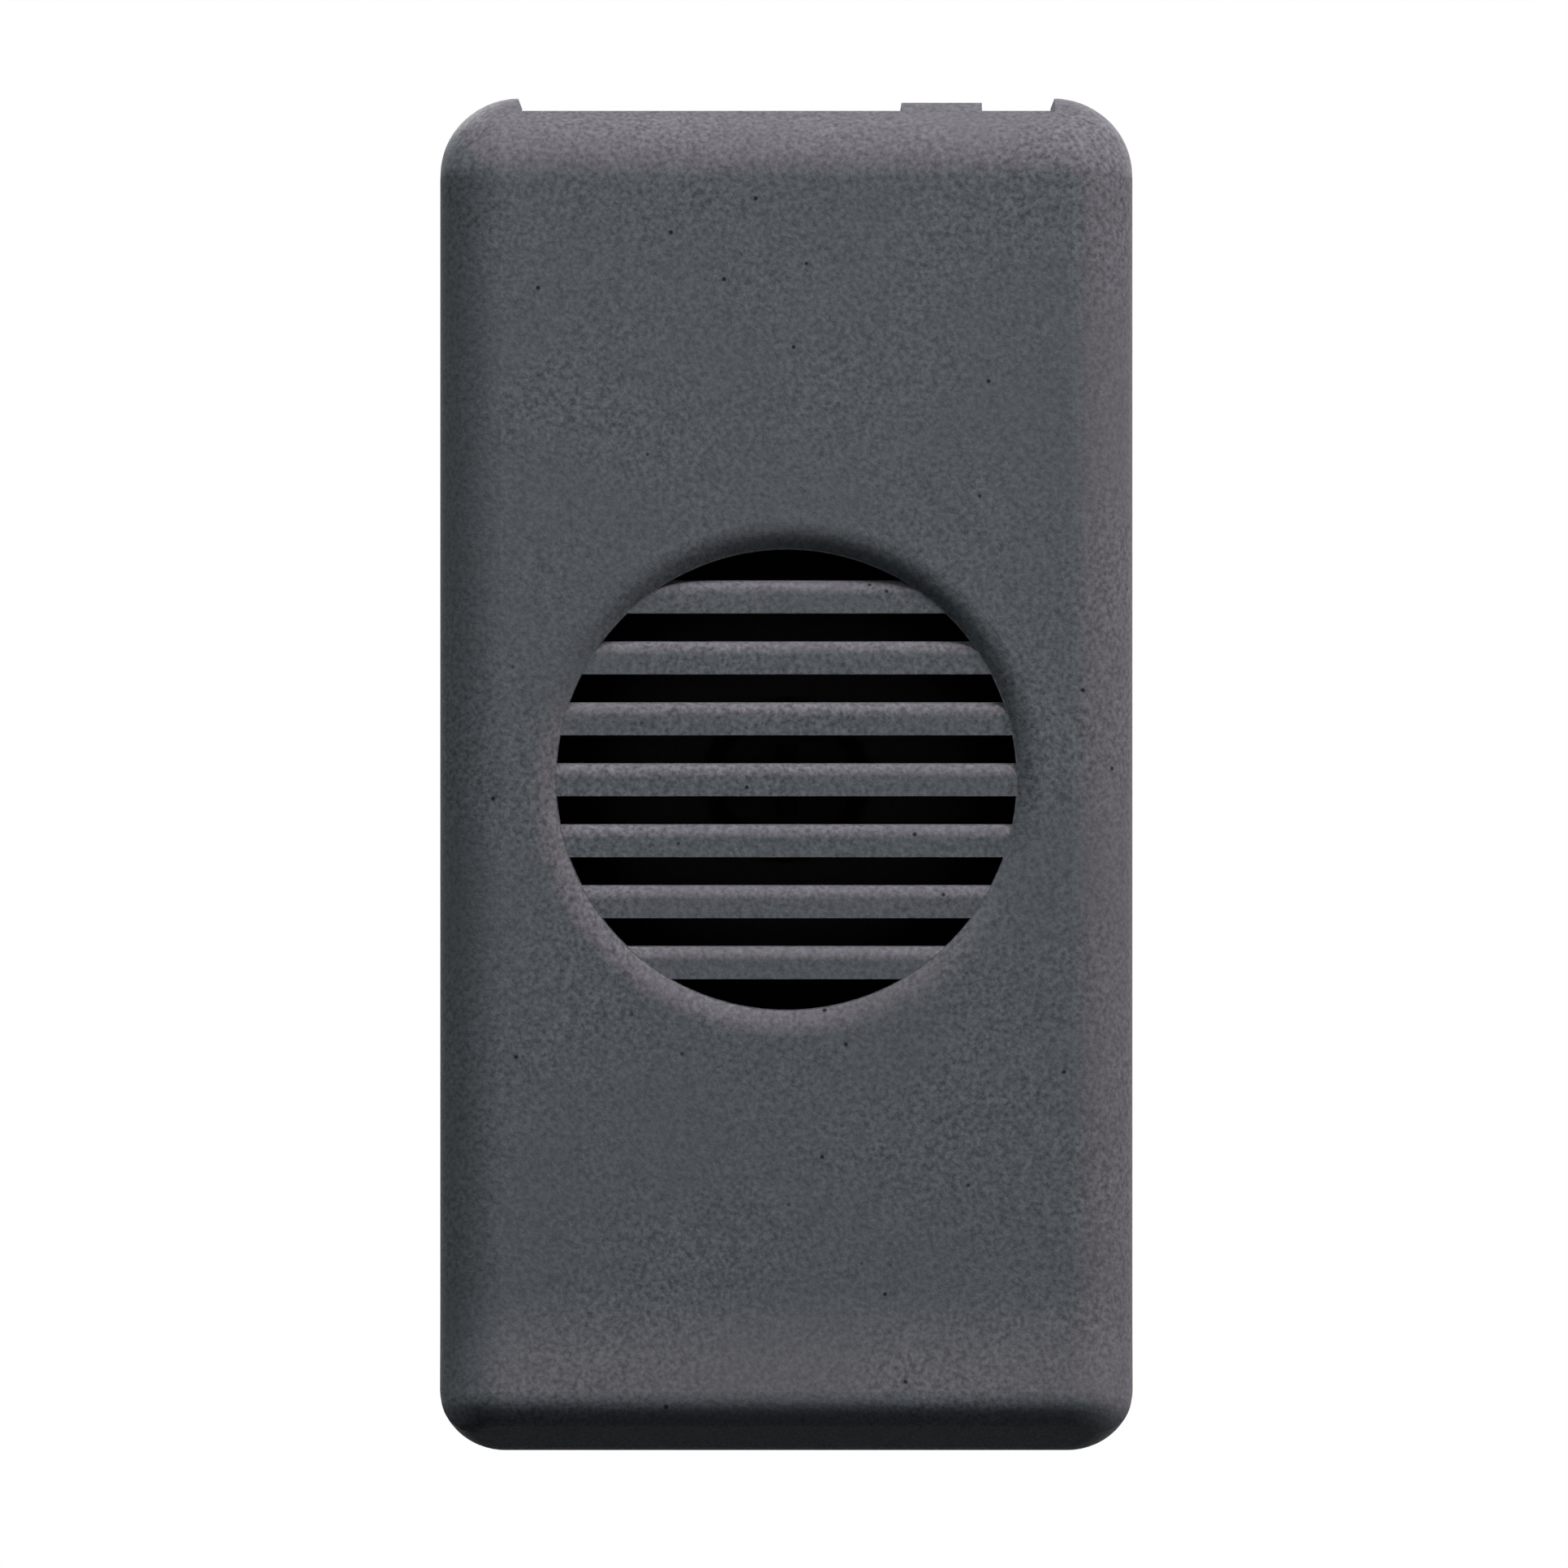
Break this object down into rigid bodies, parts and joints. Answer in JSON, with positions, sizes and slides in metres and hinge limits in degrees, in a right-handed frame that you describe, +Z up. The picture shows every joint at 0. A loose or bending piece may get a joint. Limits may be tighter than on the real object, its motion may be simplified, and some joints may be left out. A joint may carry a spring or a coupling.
{
  "type": "flush-mounting doorbell module",
  "caption": "Tall rounded module with a sunk round louvred grille over a small electric bell, with snap-in casing, striking hammer and screw terminals.",
  "frame": {"origin": "on the round grille's axis, in the plane where the cover's end rims seat on the wall frame", "axes": "+Z up, +Y to the rear into the wall, +X to the right of someone looking at the grille"},
  "size_m": [0.0224, 0.0378, 0.0438],
  "materials": {
    "front_cover": "dark grey, fine matt grain",
    "casing": "near black, moulded",
    "rear_plate": "mid grey, moulded",
    "terminal_guard": "mid grey, moulded",
    "wire_bush_left": "orange, moulded",
    "wire_bush_right": "orange, moulded",
    "gong": "black oxide on steel",
    "gong_post": "turned brass",
    "gong_screw": "black oxide on steel",
    "gong_washers": "dark fibre",
    "yoke": "zinc plated soft iron",
    "core": "soft iron",
    "pole_pin": "turned brass",
    "bobbin": "natural polyamide",
    "winding": "enamelled copper wire",
    "winding_tape": "amber tape",
    "coil_pins": "tinned brass",
    "yoke_screws": "zinc plated",
    "armature": "zinc plated soft iron",
    "armature_spring": "spring bronze",
    "yoke_rivets": "plain steel",
    "armature_rivets": "plain steel",
    "rod_holder": "milled brass",
    "hammer_rod": "spring steel wire",
    "hammer_head": "turned brass",
    "terminal_cage_left": "folded brass",
    "clamp_plate_left": "zinc plated",
    "terminal_screw_left": "zinc plated",
    "coil_lead_left": "insulated wire",
    "terminal_cage_right": "folded brass",
    "clamp_plate_right": "zinc plated",
    "terminal_screw_right": "zinc plated",
    "coil_lead_right": "insulated wire"
  },
  "bodies": {
    "housing": {"front_cover": "front_cover", "casing": "casing", "rear_plate": "rear_plate", "terminal_guard": "terminal_guard", "wire_bush_left": "wire_bush_left", "wire_bush_right": "wire_bush_right", "gong": "gong", "gong_post": "gong_post", "gong_screw": "gong_screw", "gong_washers": "gong_washers", "yoke": "yoke", "core": "core", "pole_pin": "pole_pin", "bobbin": "bobbin", "winding": "winding", "winding_tape": "winding_tape", "coil_pins": "coil_pins", "yoke_screws": "yoke_screws", "armature_spring": "armature_spring", "yoke_rivets": "yoke_rivets", "terminal_cage_left": "terminal_cage_left", "coil_lead_left": "coil_lead_left", "terminal_cage_right": "terminal_cage_right", "coil_lead_right": "coil_lead_right"},
    "hammer": {"armature": "armature", "armature_rivets": "armature_rivets", "rod_holder": "rod_holder", "hammer_rod": "hammer_rod", "hammer_head": "hammer_head"},
    "clamp_left": {"clamp_plate_left": "clamp_plate_left"},
    "screw_left": {"terminal_screw_left": "terminal_screw_left"},
    "clamp_right": {"clamp_plate_right": "clamp_plate_right"},
    "screw_right": {"terminal_screw_right": "terminal_screw_right"}
  },
  "joints": [
    {"name": "hammer_swing", "type": "hinge", "parent": "housing", "child": "hammer", "pos_m": [0, 0.022, -0.0052], "axis": [-1, 0, 0], "range_deg": [0, 5], "stiffness_Nm_per_rad": 0.02, "springref_deg": -2.86, "deforming": ["armature_spring"]},
    {"name": "clamp_rise_left", "type": "slide", "parent": "housing", "child": "clamp_left", "axis": [0, 0, 1], "range_m": [0, 0.00185]},
    {"name": "screw_turn_left", "type": "hinge", "parent": "clamp_left", "child": "screw_left", "pos_m": [-0.0046, 0.01805, -0.015], "axis": [0, 0, 1], "range_deg": [0, 1332]},
    {"name": "clamp_rise_right", "type": "slide", "parent": "housing", "child": "clamp_right", "axis": [0, 0, 1], "range_m": [0, 0.00185]},
    {"name": "screw_turn_right", "type": "hinge", "parent": "clamp_right", "child": "screw_right", "pos_m": [0.0046, 0.01805, -0.015], "axis": [0, 0, 1], "range_deg": [0, 1332]}
  ],
  "couplings": [
    {"joint": "screw_turn_left", "follows": "clamp_rise_left", "rad_per_m": 12566},
    {"joint": "screw_turn_right", "follows": "clamp_rise_right", "rad_per_m": 12566}
  ]
}
